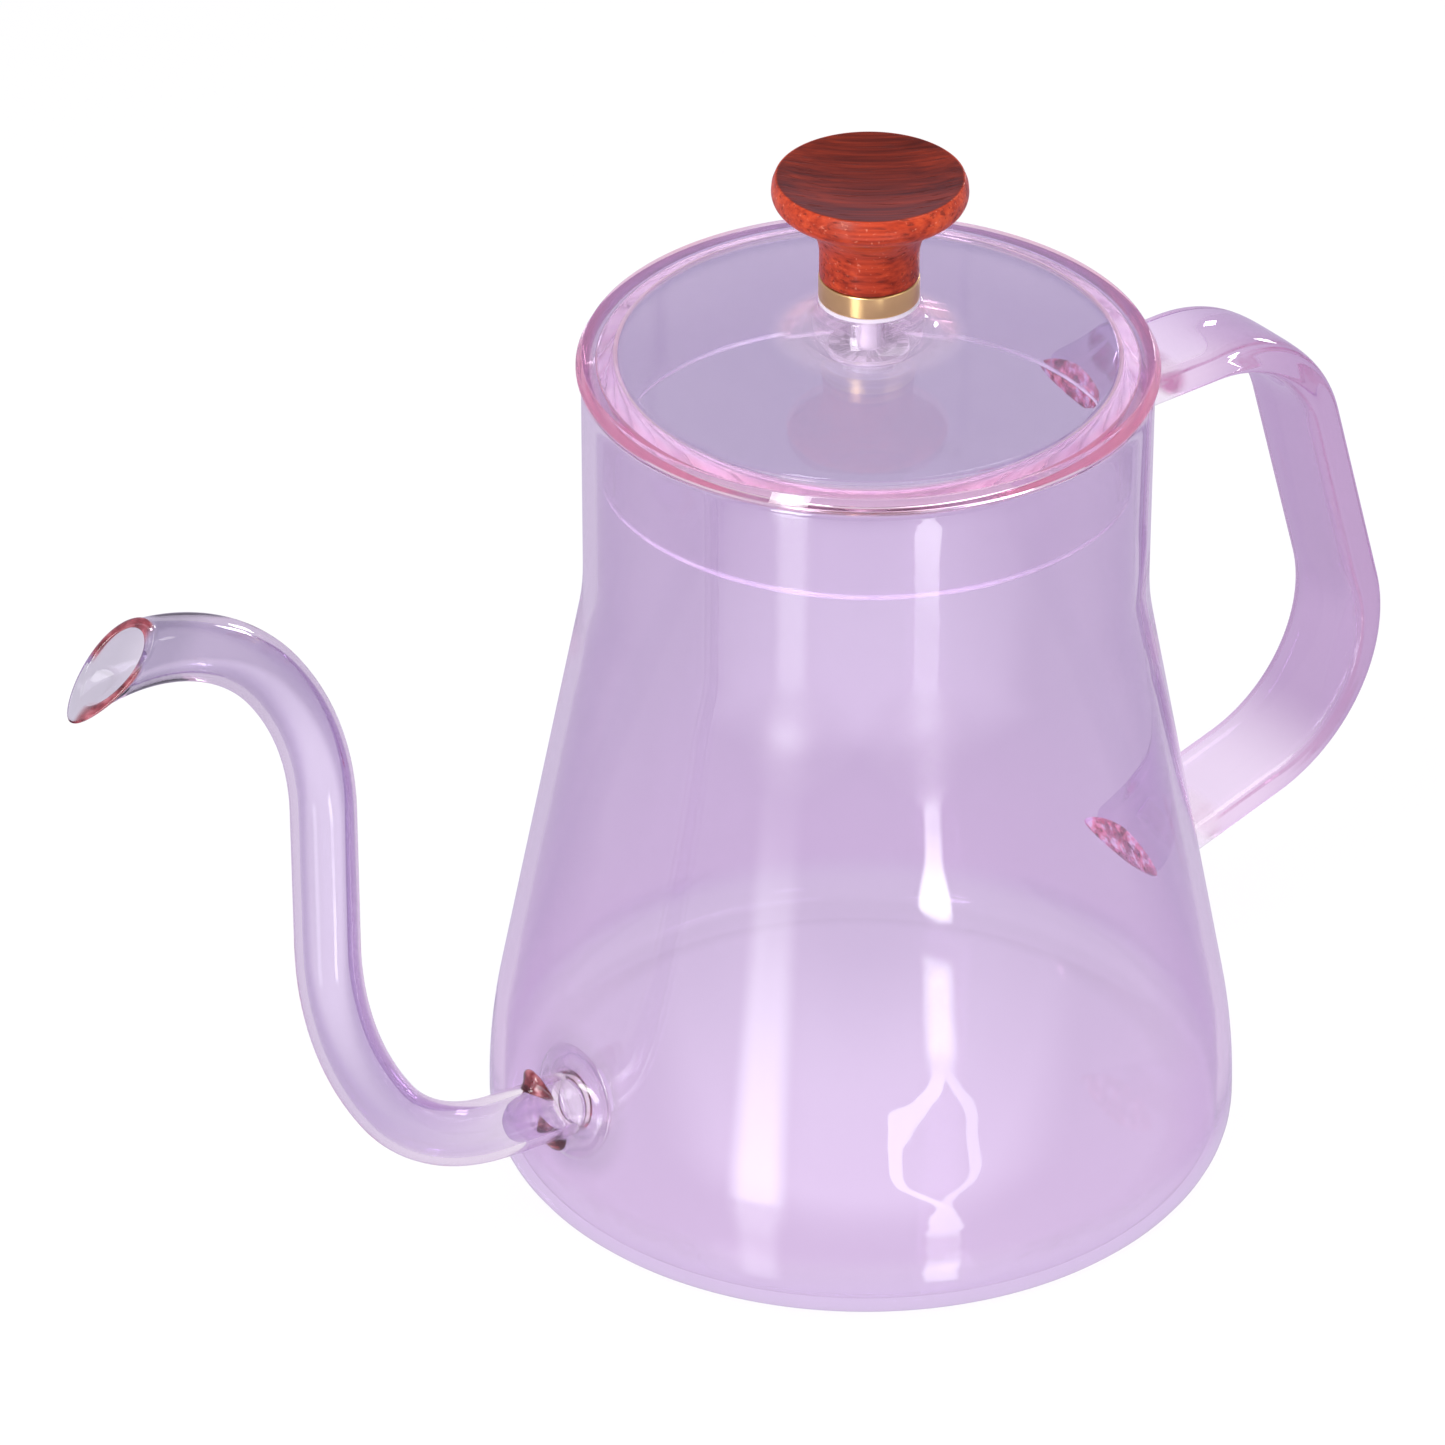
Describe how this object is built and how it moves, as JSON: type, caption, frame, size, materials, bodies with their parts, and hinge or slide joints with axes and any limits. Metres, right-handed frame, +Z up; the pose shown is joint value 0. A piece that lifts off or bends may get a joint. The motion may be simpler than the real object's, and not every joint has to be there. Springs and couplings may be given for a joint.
{
  "type": "gooseneck kettle",
  "caption": "Tinted glass gooseneck kettle: waisted vessel, slim S-curved pouring spout, flat strap handle and lift-off domed lid with a turned wooden knob on a brass collar.",
  "frame": {"origin": "centre of the flat base, on the surface that the kettle stands on", "axes": "+Z up along the vessel's axis; the spout points along -X and the handle along +X"},
  "size_m": [0.2478, 0.119, 0.1701],
  "materials": {
    "vessel_glass": "clear blown glass with a faint lavender tint",
    "spout_glass": "clear drawn glass tube with a faint lavender tint",
    "handle_glass": "clear pressed glass, pinker where it is thick",
    "weld_glass": "fused glass bead, deep pink",
    "lid_glass": "clear pressed glass with a pink rim bead",
    "knob_wood": "oiled red-brown hardwood",
    "ferrule_brass": "satin",
    "insert_brass": "plain turned",
    "screw_steel": "bright turned",
    "clear_silicone": "milky translucent silicone"
  },
  "bodies": {
    "kettle": {"vessel": "vessel_glass", "spout": "spout_glass", "spout_weld": "weld_glass", "handle": "handle_glass", "handle_upper_weld": "weld_glass", "handle_lower_weld": "weld_glass"},
    "lid": {"lid": "lid_glass", "knob_seat_washer": "clear_silicone", "ferrule": "ferrule_brass", "knob": "knob_wood", "knob_insert": "insert_brass", "seal_washer": "clear_silicone", "screw_washer": "screw_steel", "knob_screw": "screw_steel"}
  },
  "joints": [
    {"name": "lid_lift", "type": "slide", "parent": "kettle", "child": "lid", "axis": [0, 0, 1], "range_m": [0, 0.06]}
  ]
}
